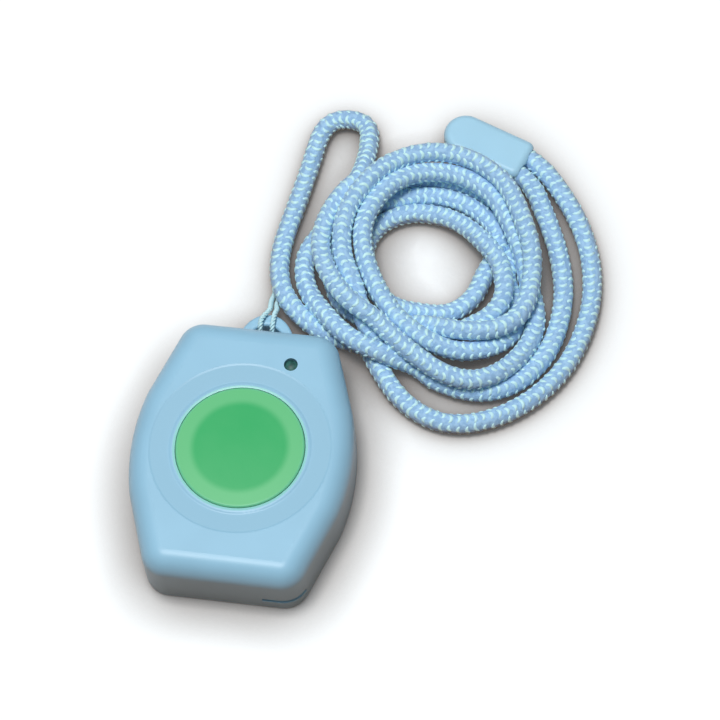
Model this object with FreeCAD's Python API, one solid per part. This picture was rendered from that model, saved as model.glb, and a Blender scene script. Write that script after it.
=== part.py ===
import FreeCAD, Part
import math
import os

from FreeCAD import Vector

# Wireless panic button on a neck lanyard, in millimetres. It lies on its back: +Z is out of the
# button's face, +Y runs to the lanyard lug, and the origin is under the middle of the case.

# Case
case_length = 59.0
case_width = 48.0
case_height = 16.0
parting_height = 5.0
wall = 1.8
front_edge_radius = 4.7
rear_edge_radius = 1.0
end_corner_radius = 5.6
flank_angle = 19.7
side_radius = 47.5
side_reach = 11.8
flank_blend_radius = 8.0
cut_overrun = 1.0

# Joint between the two shells
tongue_thickness = 0.8
tongue_height = 1.4
gasket_height = 0.5
gasket_margin = 0.05
shell_clearance = 0.05
snap_length = 4.0
snap_depth = 0.3
snap_height = 0.7
snap_spacing = 15.0
pry_slot_height = 1.2
pry_slot_depth = 1.3
pry_slot_start = 8.4
pry_slot_top = 26.0

# Lanyard lug on the rear shell
lug_half_width = 6.2
lug_reach = 7.5
lug_eye_half_width = 4.2
lug_eye_reach = 4.8
lug_bottom = 1.5
lug_edge_radius = 0.6

# Button and its seal
button_radius = 13.9
button_clearance = 0.1
button_stand = 0.3
button_crown = 0.25
button_rim_radius = 0.5
button_skin = 1.4
button_skirt = 0.9
button_flange = 1.1
button_flange_height = 0.55
button_boss_radius = 9.5
button_travel = 0.6
bead_width = 1.0
bead_stand = 0.02
bead_drop = 0.08
bead_blend = 0.4
dish_radius = 19.3
dish_edge = 0.4
dish_step = 0.1
dish_depth = 0.18
collar_radius = 20.6
collar_depth = 0.5
membrane_skin = 0.5
membrane_pad_radius = 8.5
membrane_flange_width = 1.1
membrane_flange_height = 0.8
membrane_margin = 0.3
membrane_wall = 0.6
membrane_nub_radius = 1.8
membrane_pad_height = 1.1
membrane_nub_height = 0.7
ring_width = 1.6
ring_height = 1.2
stake_circle = 19.2
stake_radius = 0.8
stake_ear_radius = 1.9
stake_head_radius = 1.3
stake_head_height = 0.5

# Circuit board
board_thickness = 1.2
board_bottom = 5.6
board_margin = 0.4
screw_boss_radius = 2.3
screw_radius = 0.8
screw_hole_radius = 1.1
screw_grip = 3.2
screw_tip_gap = 0.3
screw_head_radius = 1.8
screw_head_height = 1.1
screw_spread = 13.5
screw_end_gap = 11.5
running_gap = 0.05

# Light
led_x = 7.9
led_end_gap = 9.0
led_hole_radius = 1.5
led_radius = 1.4
led_flange_radius = 1.75
led_flange_height = 1.0
led_recess = 0.45
led_crown = 0.4
led_body_height = 4.1
led_boss_wall = 1.0
led_lead_pitch = 1.27
led_lead_width = 0.45
led_lead_tail = 0.6

# Key switch
switch_size = 6.2
switch_key_stand = 1.0
switch_corner_radius = 0.4
switch_cover_thickness = 0.3
switch_key_radius = 1.75
switch_collar_radius = 2.3
switch_collar_height = 0.35
switch_dome_radius = 2.2
switch_dome_height = 0.9
switch_dome_skin = 0.12
switch_tab_size = (1.0, 0.8, 0.25)
switch_arm_width = 2.8
switch_arm_gap = 1.4

# Battery
cell_radius = 10.0
cell_height = 3.2
cell_edge = 0.45
cell_y = -2.0
strip_thickness = 0.3
clip_width = 8.0
clip_side_gap = 0.35
clip_foot = 2.4
pad_radius = 4.0
pad_thickness = 0.2

# Parts on the board
radio_size = (7.0, 7.0, 1.6)
radio_at = (-12.5, 9.0)
radio_corner = 0.6
chip_size = (5.0, 5.0, 0.9)
chip_at = (12.5, 6.5)
chip_corner = 0.15
crystal_size = (5.0, 3.2, 1.3)
crystal_at = (12.5, -2.5)
crystal_corner = 0.8
antenna_wire_diameter = 0.8
antenna_half_span = 9.0
antenna_height = 3.6
antenna_fold = 3.5
antenna_tail = 13.0
antenna_end_gap = 6.5
small_part_size = (1.6, 0.8, 0.6)
small_part_points = [
    (-6.5, 9.5), (-6.5, 12.0), (-6.5, 14.5), (-2.5, 12.0), (-2.5, 14.5), (1.5, 13.0), (12.5, 11.5),
    (15.0, -7.5), (11.5, -7.5), (-13.0, 2.5), (-13.0, -1.0), (-9.5, -11.5), (9.0, -12.5),
]

# Lanyard
cord_diameter = 4.2
string_diameter = 1.25
joiner_length = 20.5
joiner_width = 9.8
joiner_height = 6.0
joiner_edge_radius = 1.6
joiner_corner_radius = 1.9
joiner_angle = -21.0
joiner_end = (51.8, 81.2)
joiner_bore_offset = 2.3
joiner_bore_depth = 5.0
joiner_bore_flare = 0.4
joiner_bore_radius = 2.15

# Cord from the joiner round the right side, behind the case and up through the left loop
outer_route = [
    (48.9, 84.8, 3.0), (54.5, 82.6, 3.0), (60.6, 76.6, 2.3), (66.5, 68.0, 2.15), (70.0, 56.5, 2.15),
    (70.2, 44.5, 2.15), (65.0, 31.5, 2.15), (55.0, 21.5, 2.15), (42.5, 16.8, 2.15), (31.0, 20.0, 2.15),
    (21.5, 29.3, 2.15), (12.0, 34.5, 2.2), (4.6, 39.4, 3.7), (0.5, 45.5, 3.7), (-0.8, 54.0, 2.2),
    (0.8, 64.5, 2.15), (2.9, 75.5, 2.15), (4.4, 89.8, 2.15), (14.9, 90.2, 2.3), (15.9, 80.5, 4.4),
    (14.6, 71.5, 7.6),
]

# Cord from the joiner's second bore down inside the outer strand and under the coil
inner_route = [
    (47.2, 80.5, 3.0), (52.9, 78.3, 3.0), (57.0, 70.8, 2.3), (62.0, 60.5, 2.15), (64.4, 49.0, 2.15),
    (62.4, 36.5, 2.15), (56.0, 28.0, 2.15), (47.5, 24.8, 2.15),
]

# String: out from under the cord, over the lug's bar and under it, across below, up over it and back
string_route = [
    (-0.1, 46.4, 0.7), (-0.2, 45.0, 0.7), (-0.4, 43.2, 1.3), (-0.5, 41.4, 2.9), (-0.3, 39.6, 4.4),
    (0.0, 37.8, 5.6), (-1.5, 35.7, 5.95), (-1.7, 34.1, 5.95), (-1.7, 32.9, 4.8), (-1.7, 32.9, 1.7),
    (-1.7, 34.1, 0.7), (-1.7, 38.2, 0.7), (1.0, 38.2, 0.7), (1.0, 34.1, 0.7), (1.0, 32.9, 1.7),
    (1.0, 32.9, 4.8), (1.0, 34.1, 5.95), (1.1, 36.8, 5.95), (1.4, 38.3, 4.9), (0.9, 39.6, 3.2),
    (0.5, 41.2, 1.5), (0.9, 43.2, 0.7), (1.6, 45.4, 0.7),
]

# Coil: angle about its middle, inner reach, outer reach, height
coil_middle = (32.5, 54.0)
coil_sections = [
    (0, 12.0, 25.2, 8.0), (30, 12.3, 24.6, 8.4), (60, 11.4, 26.2, 10.2), (90, 10.9, 27.4, 10.2),
    (120, 11.9, 27.8, 11.2), (150, 12.9, 25.4, 12.0), (180, 12.3, 25.4, 12.0), (210, 10.2, 27.2, 10.6),
    (240, 10.3, 24.4, 9.0), (270, 10.4, 25.2, 8.2), (300, 12.9, 31.0, 7.6), (330, 12.4, 30.4, 8.0),
]
coil_floor = 0.1
coil_squareness = 0.75
coil_section_points = 10

# Heights and sizes that follow
half_length = case_length / 2
half_width = case_width / 2
ceiling = case_height - wall
collar_bottom = ceiling - collar_depth
opening_radius = button_radius + button_clearance
bead_radius = opening_radius + bead_width
led_y = half_length - led_end_gap
antenna_y = antenna_end_gap - half_length
screw_points = [(-screw_spread, half_length - screw_end_gap),
                (-screw_spread, screw_end_gap - half_length), (screw_spread, screw_end_gap - half_length)]
tongue_outer = wall - tongue_thickness - shell_clearance
tongue_inner = wall - shell_clearance
rebate = tongue_outer - shell_clearance
tongue_top = parting_height + tongue_height
shoulder_height = tongue_top + gasket_height
board_top = board_bottom + board_thickness
button_edge_top = case_height + button_stand
boss_bottom = collar_bottom - button_flange_height - running_gap
pad_bottom = boss_bottom - membrane_pad_height
nub_bottom = pad_bottom - membrane_nub_height
switch_top = nub_bottom - switch_key_stand
cover_bottom = switch_top - switch_cover_thickness
seal_inner = button_radius + button_flange + membrane_margin
seal_step = seal_inner + membrane_wall
seal_outer = seal_step + membrane_flange_width
ring_inner = seal_step + running_gap
ring_outer = ring_inner + ring_width
flange_bottom = collar_bottom - membrane_flange_height
ring_bottom = flange_bottom - ring_height
led_top = case_height - led_recess
led_bottom = led_top - led_body_height
led_seat = led_bottom + led_flange_height + running_gap
key_bottom = cover_bottom - running_gap - switch_collar_height
dome_bottom = key_bottom - switch_dome_height
pilot_bottom = board_bottom - screw_grip - screw_tip_gap
cell_top = board_bottom - pad_thickness
cell_bottom = cell_top - cell_height


def unit(degrees):
    return Vector(math.cos(math.radians(degrees)), math.sin(math.radians(degrees)), 0)


def line(start, end):
    return Part.LineSegment(start, end).toShape()


def arc(centre, radius, start, end):
    points = [centre + unit(angle) * radius for angle in (start, (start + end) / 2, end)]
    return Part.Arc(*points).toShape()


def flank_blend():
    """Centre and starting angle of the arc that joins the bowed side to the straight flank."""
    normal = unit(flank_angle)
    tangent = unit(flank_angle + 90)
    middle = Vector(half_width - side_radius, 0, 0)
    meeting = middle + unit(math.degrees(math.asin(side_reach / side_radius))) * side_radius
    offset = meeting.dot(normal) - flank_blend_radius - middle.dot(normal)
    along = math.sqrt((side_radius - flank_blend_radius) ** 2 - offset ** 2)
    centre = middle + normal * offset - tangent * along
    toward = centre - middle
    return meeting.dot(normal), centre, math.degrees(math.atan2(toward.y, toward.x))


def case_wire(inset, height):
    """The case's outline drawn in by inset: bowed side, blend, flank, corner and end, mirrored."""
    flank_offset, blend, blend_start = flank_blend()
    lift = Vector(0, 0, height)
    normal = unit(flank_angle)
    corner_y = half_length - end_corner_radius
    corner_x = (flank_offset - end_corner_radius - corner_y * normal.y) / normal.x
    corner = Vector(corner_x, corner_y, 0) + lift
    blend = blend + lift
    middle = Vector(half_width - side_radius, 0, 0) + lift
    end = Vector(corner_x, half_length - inset, height)
    quarter = [
        arc(middle, side_radius - inset, 0, blend_start),
        arc(blend, flank_blend_radius - inset, blend_start, flank_angle),
        line(blend + normal * (flank_blend_radius - inset), corner + normal * (end_corner_radius - inset)),
        arc(corner, end_corner_radius - inset, flank_angle, 90),
        line(end, Vector(0, end.y, height)),
    ]
    half = quarter + [edge.mirror(Vector(), Vector(0, 1, 0)) for edge in quarter]
    whole = half + [edge.mirror(Vector(), Vector(1, 0, 0)) for edge in half]
    return Part.Wire(Part.__sortEdges__(whole))


def case_prism(inset, bottom, top):
    return Part.Face(case_wire(inset, bottom)).extrude(Vector(0, 0, top - bottom))


def edges_at(shape, height):
    return [e for e in shape.Edges if all(abs(v.Point.z - height) < 1e-6 for v in e.Vertexes)]


def turned(profile):
    """A solid turned about the Z axis from points (radius, height)."""
    points = [Vector(r, 0, z) for r, z in profile]
    face = Part.Face(Part.makePolygon(points + points[:1]))
    return face.revolve(Vector(), Vector(0, 0, 1), 360)


def rod(radius, bottom, top, x=0.0, y=0.0):
    return Part.makeCylinder(radius, top - bottom, Vector(x, y, bottom))


def block(size, x, y, bottom):
    return Part.makeBox(size[0], size[1], size[2], Vector(x - size[0] / 2, y - size[1] / 2, bottom))


def ring_points(radius, count, first):
    return [unit(first + 360 / count * i) * radius for i in range(count)]


def snap_ridges(grow):
    """Wedge ridges on the tongue's end walls; the front shell's grooves are the same, grown."""
    face_y = half_length - tongue_outer
    middle = parting_height + tongue_height / 2
    half = snap_height / 2 + grow
    ridges = []
    for side in (1, -1):
        for x in (-snap_spacing / 2, snap_spacing / 2):
            start = x - snap_length / 2 - grow
            outline = [Vector(start, side * (face_y - snap_depth), middle - half),
                       Vector(start, side * face_y, middle - half),
                       Vector(start, side * (face_y + snap_depth + grow), middle),
                       Vector(start, side * face_y, middle + half),
                       Vector(start, side * (face_y - snap_depth), middle + half)]
            face = Part.Face(Part.makePolygon(outline + outline[:1]))
            ridges.append(face.extrude(Vector(snap_length + 2 * grow, 0, 0)))
    return ridges


def stake_pins():
    """Pins that hold the membrane's ring, each with its end melted over into a head."""
    pins = []
    head_bottom = ring_bottom - stake_head_height
    for point in ring_points(stake_circle, 4, 45):
        pins.append(rod(stake_radius, ring_bottom, ceiling, point.x, point.y))
        head = rod(stake_head_radius, head_bottom, ring_bottom, point.x, point.y)
        pins.append(head.makeFillet(stake_head_height * 0.6, edges_at(head, head_bottom)))
    return pins


def button_seat(shell):
    """The rounded bead at the button's hole and the shallow dish with a soft edge round it."""
    crown = case_height + bead_stand
    over_top = crown + cut_overrun
    foot = Vector(bead_radius + bead_blend, 0, case_height - dish_depth)
    dish_end = Vector(dish_radius, 0, case_height - dish_step)
    rim = dish_radius + dish_edge
    bead = [Vector(opening_radius, 0, crown - bead_drop), Vector(opening_radius + bead_width / 2, 0, crown),
            Vector(bead_radius, 0, crown - bead_drop), foot]
    curve = Part.BSplineCurve()
    curve.interpolate(Points=bead, InitialTangent=Vector(bead_width / 4, 0, bead_drop),
                      FinalTangent=dish_end - foot)
    corners = [foot, dish_end, Vector(rim, 0, case_height), Vector(rim, 0, over_top),
               Vector(0, 0, over_top), Vector(0, 0, bead[0].z), bead[0]]
    outline = Part.Wire([curve.toShape()] + Part.makePolygon(corners).Edges)
    space = Part.Face(outline).revolve(Vector(), Vector(0, 0, 1), 360)
    shell = shell.fuse(rod(foot.x, case_height - wall / 2, crown + cut_overrun / 2)).cut(space)
    return shell.cut(rod(opening_radius, collar_bottom - cut_overrun, over_top))


def front_shell():
    outer = case_prism(0, parting_height, case_height)
    outer = outer.makeFillet(front_edge_radius, edges_at(outer, case_height))
    hollow = case_prism(wall, parting_height - cut_overrun, ceiling)
    hollow = hollow.makeFillet(front_edge_radius - wall, edges_at(hollow, ceiling))
    shell = outer.cut(hollow)
    shell = shell.cut(case_prism(rebate, parting_height - cut_overrun, shoulder_height))
    collar = rod(collar_radius, collar_bottom, ceiling + wall / 4)
    led_boss = rod(led_hole_radius + led_boss_wall, led_seat, ceiling + wall / 4, led_x, led_y)
    shell = shell.fuse([collar, led_boss] + stake_pins())
    shell = button_seat(shell)
    shell = shell.cut(rod(led_hole_radius, led_seat - cut_overrun, case_height + cut_overrun, led_x, led_y))
    return shell.cut(snap_ridges(shell_clearance)).removeSplitter()


def lug_outline(half_span, reach):
    centre = Vector(0, half_length, lug_bottom)
    ends = (centre + Vector(0, reach, 0), centre + Vector(half_span, 0, 0))
    if reach < half_span:
        ends = ends[::-1]
    return Part.Face(Part.Wire([Part.Ellipse(ends[0], ends[1], centre).toShape()]))


def lug():
    """Half-oval ear with a half-oval eye, rounded on both faces."""
    thickness = Vector(0, 0, parting_height - lug_bottom)
    ear = lug_outline(lug_half_width, lug_reach).extrude(thickness)
    ear = ear.cut(lug_outline(lug_eye_half_width, lug_eye_reach).extrude(thickness))
    ear = ear.makeFillet(lug_edge_radius, edges_at(ear, lug_bottom) + edges_at(ear, parting_height))
    return ear.common(Part.makeBox(2 * lug_half_width, lug_reach + wall / 2, parting_height,
                                   Vector(-lug_half_width, half_length - wall / 2, 0)))


def pry_slot():
    """Recess along the parting line that goes round one corner, for a coin or a screwdriver."""
    slot = case_prism(-1, parting_height - pry_slot_height, parting_height)
    slot = slot.cut(case_prism(pry_slot_depth, 0, parting_height))
    return slot.common(Part.makeBox(case_width, case_length, parting_height,
                                    Vector(pry_slot_start, -pry_slot_top - case_length, 0)))


def rear_shell():
    outer = case_prism(0, 0, parting_height)
    outer = outer.makeFillet(rear_edge_radius, edges_at(outer, 0))
    hollow = case_prism(wall, wall, parting_height)
    tongue = case_prism(tongue_outer, parting_height - cut_overrun, tongue_top)
    tongue = tongue.cut(case_prism(tongue_inner, parting_height - cut_overrun, tongue_top))
    bosses = [rod(screw_boss_radius, wall / 2, board_bottom, x, y) for x, y in screw_points]
    pilots = [rod(screw_radius, pilot_bottom, board_bottom, x, y) for x, y in screw_points]
    shell = outer.cut(hollow).fuse([tongue, lug()] + snap_ridges(0) + bosses)
    return shell.cut([pry_slot()] + pilots).removeSplitter()


def case_gasket():
    outer = case_prism(tongue_outer + gasket_margin, tongue_top, shoulder_height)
    return outer.cut(case_prism(tongue_inner - gasket_margin, tongue_top, shoulder_height))


def button_cap():
    """Hollow cap with a low crown, a rounded rim, a retaining flange and a centre boss."""
    crown_top = button_edge_top + button_crown
    under = button_edge_top - button_skin
    flat = button_radius - button_rim_radius
    crown_radius = (flat ** 2 + button_crown ** 2) / (2 * button_crown)
    tilt = math.asin(flat / crown_radius) / 2
    halfway = Vector(math.sin(tilt), 0, math.cos(tilt)) * crown_radius
    top = Vector(0, 0, crown_top)
    rim = Vector(flat, 0, button_edge_top)
    rim_centre = rim - Vector(0, 0, button_rim_radius)
    crown_arc = Part.Arc(top, top - Vector(0, 0, crown_radius) + halfway, rim).toShape()
    rim_middle = rim_centre + Vector(1, 0, 1).normalize() * button_rim_radius
    rim_arc = Part.Arc(rim, rim_middle, rim_centre + Vector(button_rim_radius, 0, 0)).toShape()
    flange_top = collar_bottom - running_gap
    flange_radius = button_radius + button_flange
    skirt_inner = button_radius - button_skirt
    chamfer = button_skirt
    corners = [(button_radius, rim_centre.z), (button_radius, flange_top), (flange_radius, flange_top),
               (flange_radius, boss_bottom), (skirt_inner, boss_bottom), (skirt_inner, under),
               (button_boss_radius + chamfer, under), (button_boss_radius, under - chamfer),
               (button_boss_radius, boss_bottom), (0, boss_bottom), (0, crown_top)]
    rest = Part.makePolygon([Vector(r, 0, z) for r, z in corners])
    face = Part.Face(Part.Wire([crown_arc, rim_arc] + rest.Edges))
    return face.revolve(Vector(), Vector(0, 0, 1), 360)


def sealing_membrane():
    """Rubber diaphragm: centre pad and nub on a thin web, with a rim clamped by the ring."""
    web_top = pad_bottom + membrane_skin
    taper = boss_bottom - web_top
    return turned([(0, boss_bottom), (membrane_pad_radius - taper, boss_bottom),
                   (membrane_pad_radius, web_top), (seal_inner, web_top),
                   (seal_inner, collar_bottom), (seal_outer, collar_bottom),
                   (seal_outer, flange_bottom), (seal_step, flange_bottom), (seal_step, pad_bottom),
                   (membrane_nub_radius, pad_bottom), (membrane_nub_radius, nub_bottom),
                   (0, nub_bottom)])


def membrane_ring():
    bore = rod(ring_inner, ring_bottom, flange_bottom)
    rim_space = rod(seal_outer + running_gap, flange_bottom, collar_bottom)
    points = ring_points(stake_circle, 4, 45)
    ears = [rod(stake_ear_radius, ring_bottom, collar_bottom, p.x, p.y) for p in points]
    holes = [rod(stake_radius + running_gap, ring_bottom, collar_bottom, p.x, p.y) for p in points]
    ring = rod(ring_outer, ring_bottom, flange_bottom).fuse(ears)
    return ring.cut([bore, rim_space] + holes).removeSplitter()


def lead_points():
    return [(led_x - led_lead_pitch, led_y), (led_x + led_lead_pitch, led_y)]


def circuit_board():
    board = case_prism(wall + board_margin, board_bottom, board_top)
    holes = [rod(screw_hole_radius, board_bottom, board_top, x, y) for x, y in screw_points]
    holes += [rod(led_lead_width * 0.8, board_bottom, board_top, x, y) for x, y in lead_points()]
    return board.cut(holes)


def board_screws():
    """Pan-head screws with a cross recess, threaded into the rear shell's bosses."""
    screws = []
    recess_depth = screw_head_height * 0.6
    for x, y in screw_points:
        shank = rod(screw_radius, board_bottom - screw_grip, board_top, x, y)
        head = rod(screw_head_radius, board_top, board_top + screw_head_height, x, y)
        head = head.makeFillet(screw_head_height / 2, edges_at(head, board_top + screw_head_height))
        recess_bottom = board_top + screw_head_height - recess_depth
        slots = [block((screw_head_radius * 1.2, screw_head_radius / 4, recess_depth), x, y, recess_bottom),
                 block((screw_head_radius / 4, screw_head_radius * 1.2, recess_depth), x, y, recess_bottom)]
        screws.append(shank.fuse(head).cut(slots).removeSplitter())
    return Part.makeCompound(screws)


def status_led():
    dome_edge = Vector(led_radius, 0, led_top - led_crown)
    dome_radius = (led_radius ** 2 + led_crown ** 2) / (2 * led_crown)
    tilt = math.asin(led_radius / dome_radius) / 2
    dome_middle = Vector(math.sin(tilt), 0, math.cos(tilt) - 1) * dome_radius + Vector(0, 0, led_top)
    dome = Part.Arc(Vector(0, 0, led_top), dome_middle, dome_edge).toShape()
    flange_top = led_bottom + led_flange_height
    corners = [(led_radius, dome_edge.z), (led_radius, flange_top), (led_flange_radius, flange_top),
               (led_flange_radius, led_bottom), (0, led_bottom), (0, led_top)]
    rest = Part.makePolygon([Vector(r, 0, z) for r, z in corners])
    body = Part.Face(Part.Wire([dome] + rest.Edges)).revolve(Vector(), Vector(0, 0, 1), 360)
    body.translate(Vector(led_x, led_y, 0))
    return body


def led_leads():
    foot = board_bottom - led_lead_tail
    size = (led_lead_width, led_lead_width, led_bottom - foot)
    return Part.makeCompound([block(size, x, y, foot) for x, y in lead_points()])


def upright_edges(shape):
    return [e for e in shape.Edges
            if abs(e.Vertexes[0].Z - e.Vertexes[-1].Z) > 1e-6 and len(e.Vertexes) == 2]


def switch_body():
    body = block((switch_size, switch_size, cover_bottom - board_top), 0, 0, board_top)
    body = body.makeFillet(switch_corner_radius, upright_edges(body))
    return body.cut(rod(switch_collar_radius + running_gap, dome_bottom, cover_bottom))


def switch_cover():
    """Pressed metal frame over the switch, with an arm down each of two sides."""
    arm_bottom = board_top + switch_arm_gap
    plate = block((switch_size, switch_size, switch_cover_thickness), 0, 0, cover_bottom)
    plate = plate.makeFillet(switch_corner_radius, upright_edges(plate))
    arms = []
    for side in (-1, 1):
        x = side * (switch_size + switch_cover_thickness) / 2
        arm_size = (switch_cover_thickness, switch_arm_width, switch_top - arm_bottom)
        arms.append(block(arm_size, x, 0, arm_bottom))
    cover = plate.fuse(arms)
    return cover.cut(rod(switch_key_radius + running_gap, cover_bottom, switch_top)).removeSplitter()


def switch_key():
    key = rod(switch_key_radius, key_bottom, nub_bottom)
    key = key.makeFillet(switch_corner_radius / 2, edges_at(key, nub_bottom))
    return key.fuse(rod(switch_collar_radius, key_bottom, key_bottom + switch_collar_height))


def switch_dome():
    """Snap dome under the key: a thin cap of a sphere."""
    radius = (switch_dome_radius ** 2 + switch_dome_height ** 2) / (2 * switch_dome_height)
    centre = Vector(0, 0, key_bottom - radius)
    bowl = Part.makeSphere(radius, centre).cut(Part.makeSphere(radius - switch_dome_skin, centre))
    return bowl.common(rod(switch_dome_radius, dome_bottom, key_bottom))


def switch_tabs():
    reach = (switch_size + switch_tab_size[0]) / 2
    spread = switch_size / 2 - switch_tab_size[1]
    return Part.makeCompound([block(switch_tab_size, x, y, board_top)
                              for x in (-reach, reach) for y in (-spread, spread)])


def battery_cell():
    """Coin cell with the insulating step between its can and its lid."""
    cell = rod(cell_radius, cell_bottom, cell_top, 0, cell_y)
    cell = cell.makeFillet(cell_edge, edges_at(cell, cell_bottom))
    step = rod(cell_radius, cell_top - cell_edge, cell_top, 0, cell_y)
    return cell.cut(step.cut(rod(cell_radius - 2 * cell_edge, cell_top - cell_edge, cell_top, 0, cell_y)))


def battery_pad():
    return rod(pad_radius, cell_top, board_bottom, 0, cell_y)


def battery_clip():
    """Sheet clip that carries the cell and is soldered to the board by its two feet."""
    inside = cell_radius + clip_side_gap
    outside = inside + strip_thickness
    floor = cell_bottom
    low = floor - strip_thickness
    foot_top = board_bottom
    foot_low = foot_top - strip_thickness
    right = [(outside, low), (outside, foot_low), (inside + clip_foot, foot_low),
             (inside + clip_foot, foot_top), (inside, foot_top), (inside, floor)]
    left = [(-x, z) for x, z in reversed(right)]
    points = [Vector(x, cell_y - clip_width / 2, z) for x, z in right + left]
    return Part.Face(Part.makePolygon(points + points[:1])).extrude(Vector(0, clip_width, 0))


def soldered_can(size, at, corner):
    """Low can or chip with rounded corners, standing on the board."""
    can = block(size, at[0], at[1], board_top)
    can = can.makeFillet(corner, upright_edges(can))
    return can.makeFillet(corner / 2, edges_at(can, board_top + size[2]))


def small_parts():
    return Part.makeCompound([block(small_part_size, x, y, board_top) for x, y in small_part_points])


def antenna_wire():
    """Stiff wire that rises from the board, crosses its lower end and folds back over itself."""
    top = board_top + antenna_height
    inner_y = antenna_y + antenna_fold
    route = [(-antenna_half_span, antenna_y, board_top), (-antenna_half_span, antenna_y, top),
             (antenna_half_span, antenna_y, top), (antenna_half_span, inner_y, top),
             (antenna_half_span - antenna_tail, inner_y, top)]
    return cord_tube(route, antenna_wire_diameter, "antenna_wire")


def cord_tube(route, diameter, name):
    """Round tube along straight runs joined by tangent arcs, each as large as its runs allow."""
    points = [Vector(*point) for point in route]
    radius = diameter / 2
    pieces = []
    bends = []
    length = 0
    here = points[0]
    for before, corner, after in zip(points, points[1:], points[2:]):
        into = (corner - before).normalize()
        out = (after - corner).normalize()
        turn = into.getAngle(out)
        cut = 0.45 * min((corner - before).Length, (after - corner).Length)
        bend = cut / math.tan(turn / 2)
        start = corner - into * cut
        axis = into.cross(out).normalize()
        centre = start + axis.cross(into) * bend
        disc = Part.Face(Part.Wire([Part.makeCircle(radius, start, into)]))
        pieces.append(Part.makeCylinder(radius, (start - here).Length, here, into))
        pieces.append(disc.revolve(centre, axis, math.degrees(turn)))
        length += (start - here).Length + bend * turn
        bends.append(bend)
        here = corner + out * cut
    pieces.append(Part.makeCylinder(radius, (points[-1] - here).Length, here, points[-1] - here))
    length += (points[-1] - here).Length
    tube = pieces[0].fuse(pieces[1:])
    ratio = tube.Volume / (math.pi * radius ** 2 * length)
    print(name, "length %.1f" % length, "volume ratio %.4f" % ratio)
    print(name, "arc radii", " ".join("%.1f" % bend for bend in bends))
    return tube


def coil_section(angle, inner, outer, height):
    """Points round the bundle of turns at one angle, as a squared oval standing on the surface."""
    way = unit(angle)
    half = (outer - inner) / 2
    half_height = (height - coil_floor) / 2
    base = Vector(coil_middle[0], coil_middle[1], coil_floor + half_height) + way * (inner + half)
    points = []
    for step in range(coil_section_points):
        turn = 2 * math.pi * step / coil_section_points
        across = math.copysign(abs(math.cos(turn)) ** coil_squareness, math.cos(turn)) * half
        up = math.copysign(abs(math.sin(turn)) ** coil_squareness, math.sin(turn)) * half_height
        points.append(base + way * across + Vector(0, 0, up))
    return points


def closed_spline(points):
    curve = Part.BSplineCurve()
    curve.interpolate(Points=points, PeriodicFlag=True, Parameters=list(range(len(points) + 1)))
    return curve


def lanyard_coil():
    """The coil's outer shape, one smooth surface through its sections, closed in both directions."""
    sections = [coil_section(*row) for row in coil_sections]
    lengthwise = [closed_spline(list(stream)) for stream in zip(*sections)]
    crosswise = [closed_spline(list(ring)) for ring in zip(*[curve.getPoles() for curve in lengthwise])]
    poles = [curve.getPoles() for curve in crosswise]
    around, across = lengthwise[0], crosswise[0]
    surface = Part.BSplineSurface()
    surface.buildFromPolesMultsKnots(poles, around.getMultiplicities(), across.getMultiplicities(),
                                     around.getKnots(), across.getKnots(), True, True,
                                     around.Degree, across.Degree)
    return Part.Solid(Part.Shell([surface.toShape()]))


def cord_joiner():
    """Flat barrel with a round end; both ends of the cord go into the two flared bores."""
    along = unit(joiner_angle)
    across = unit(joiner_angle + 90)
    half = joiner_width / 2
    end = Vector(joiner_end[0], joiner_end[1], 0)
    nose = end - along * (joiner_length - half)
    edges = [line(nose - across * half, end - across * half), line(end - across * half, end + across * half),
             line(end + across * half, nose + across * half),
             Part.Arc(nose + across * half, nose - along * half, nose - across * half).toShape()]
    body = Part.Face(Part.Wire(edges)).extrude(Vector(0, 0, joiner_height))
    corners = [e for e in upright_edges(body) if (e.CenterOfMass - end).Length < joiner_width]
    body = body.makeFillet(joiner_corner_radius, corners)
    body = body.makeFillet(joiner_edge_radius, edges_at(body, 0) + edges_at(body, joiner_height))
    bores = []
    for side in (-1, 1):
        mouth = end + across * (side * joiner_bore_offset) + Vector(0, 0, joiner_height / 2)
        bores.append(Part.makeCylinder(joiner_bore_radius, joiner_bore_depth, mouth, along * -1))
        bores.append(Part.makeCone(joiner_bore_radius + joiner_bore_flare, joiner_bore_radius,
                                   2 * joiner_bore_flare, mouth, along * -1))
    return body.cut(bores)


def save(name, shape):
    print(name, "solids", len(shape.Solids), "volume %.1f" % shape.Volume, "valid", shape.isValid())
    shape.exportStep("parts/" + name + ".step")


os.makedirs("parts", exist_ok=True)
save("front_shell", front_shell())
save("rear_shell", rear_shell())
save("case_gasket", case_gasket())
save("button_cap", button_cap())
save("sealing_membrane", sealing_membrane())
save("membrane_ring", membrane_ring())
save("circuit_board", circuit_board())
save("board_screws", board_screws())
save("status_led", status_led())
save("led_leads", led_leads())
save("switch_body", switch_body())
save("switch_cover", switch_cover())
save("switch_key", switch_key())
save("switch_dome", switch_dome())
save("switch_tabs", switch_tabs())
save("battery_cell", battery_cell())
save("battery_pad", battery_pad())
save("battery_clip", battery_clip())
save("radio_module", soldered_can(radio_size, radio_at, radio_corner))
save("control_chip", soldered_can(chip_size, chip_at, chip_corner))
save("crystal", soldered_can(crystal_size, crystal_at, crystal_corner))
save("small_parts", small_parts())
save("antenna_wire", antenna_wire())
save("cord_joiner", cord_joiner())
save("lanyard_outer", cord_tube(outer_route, cord_diameter, "lanyard_outer"))
save("lanyard_inner", cord_tube(inner_route, cord_diameter, "lanyard_inner"))
save("lanyard_coil", lanyard_coil())
save("string_loop", cord_tube(string_route, string_diameter, "string_loop"))
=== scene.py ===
import bmesh
import bpy
import math
import numpy as np
from mathutils import Matrix, Vector


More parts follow.
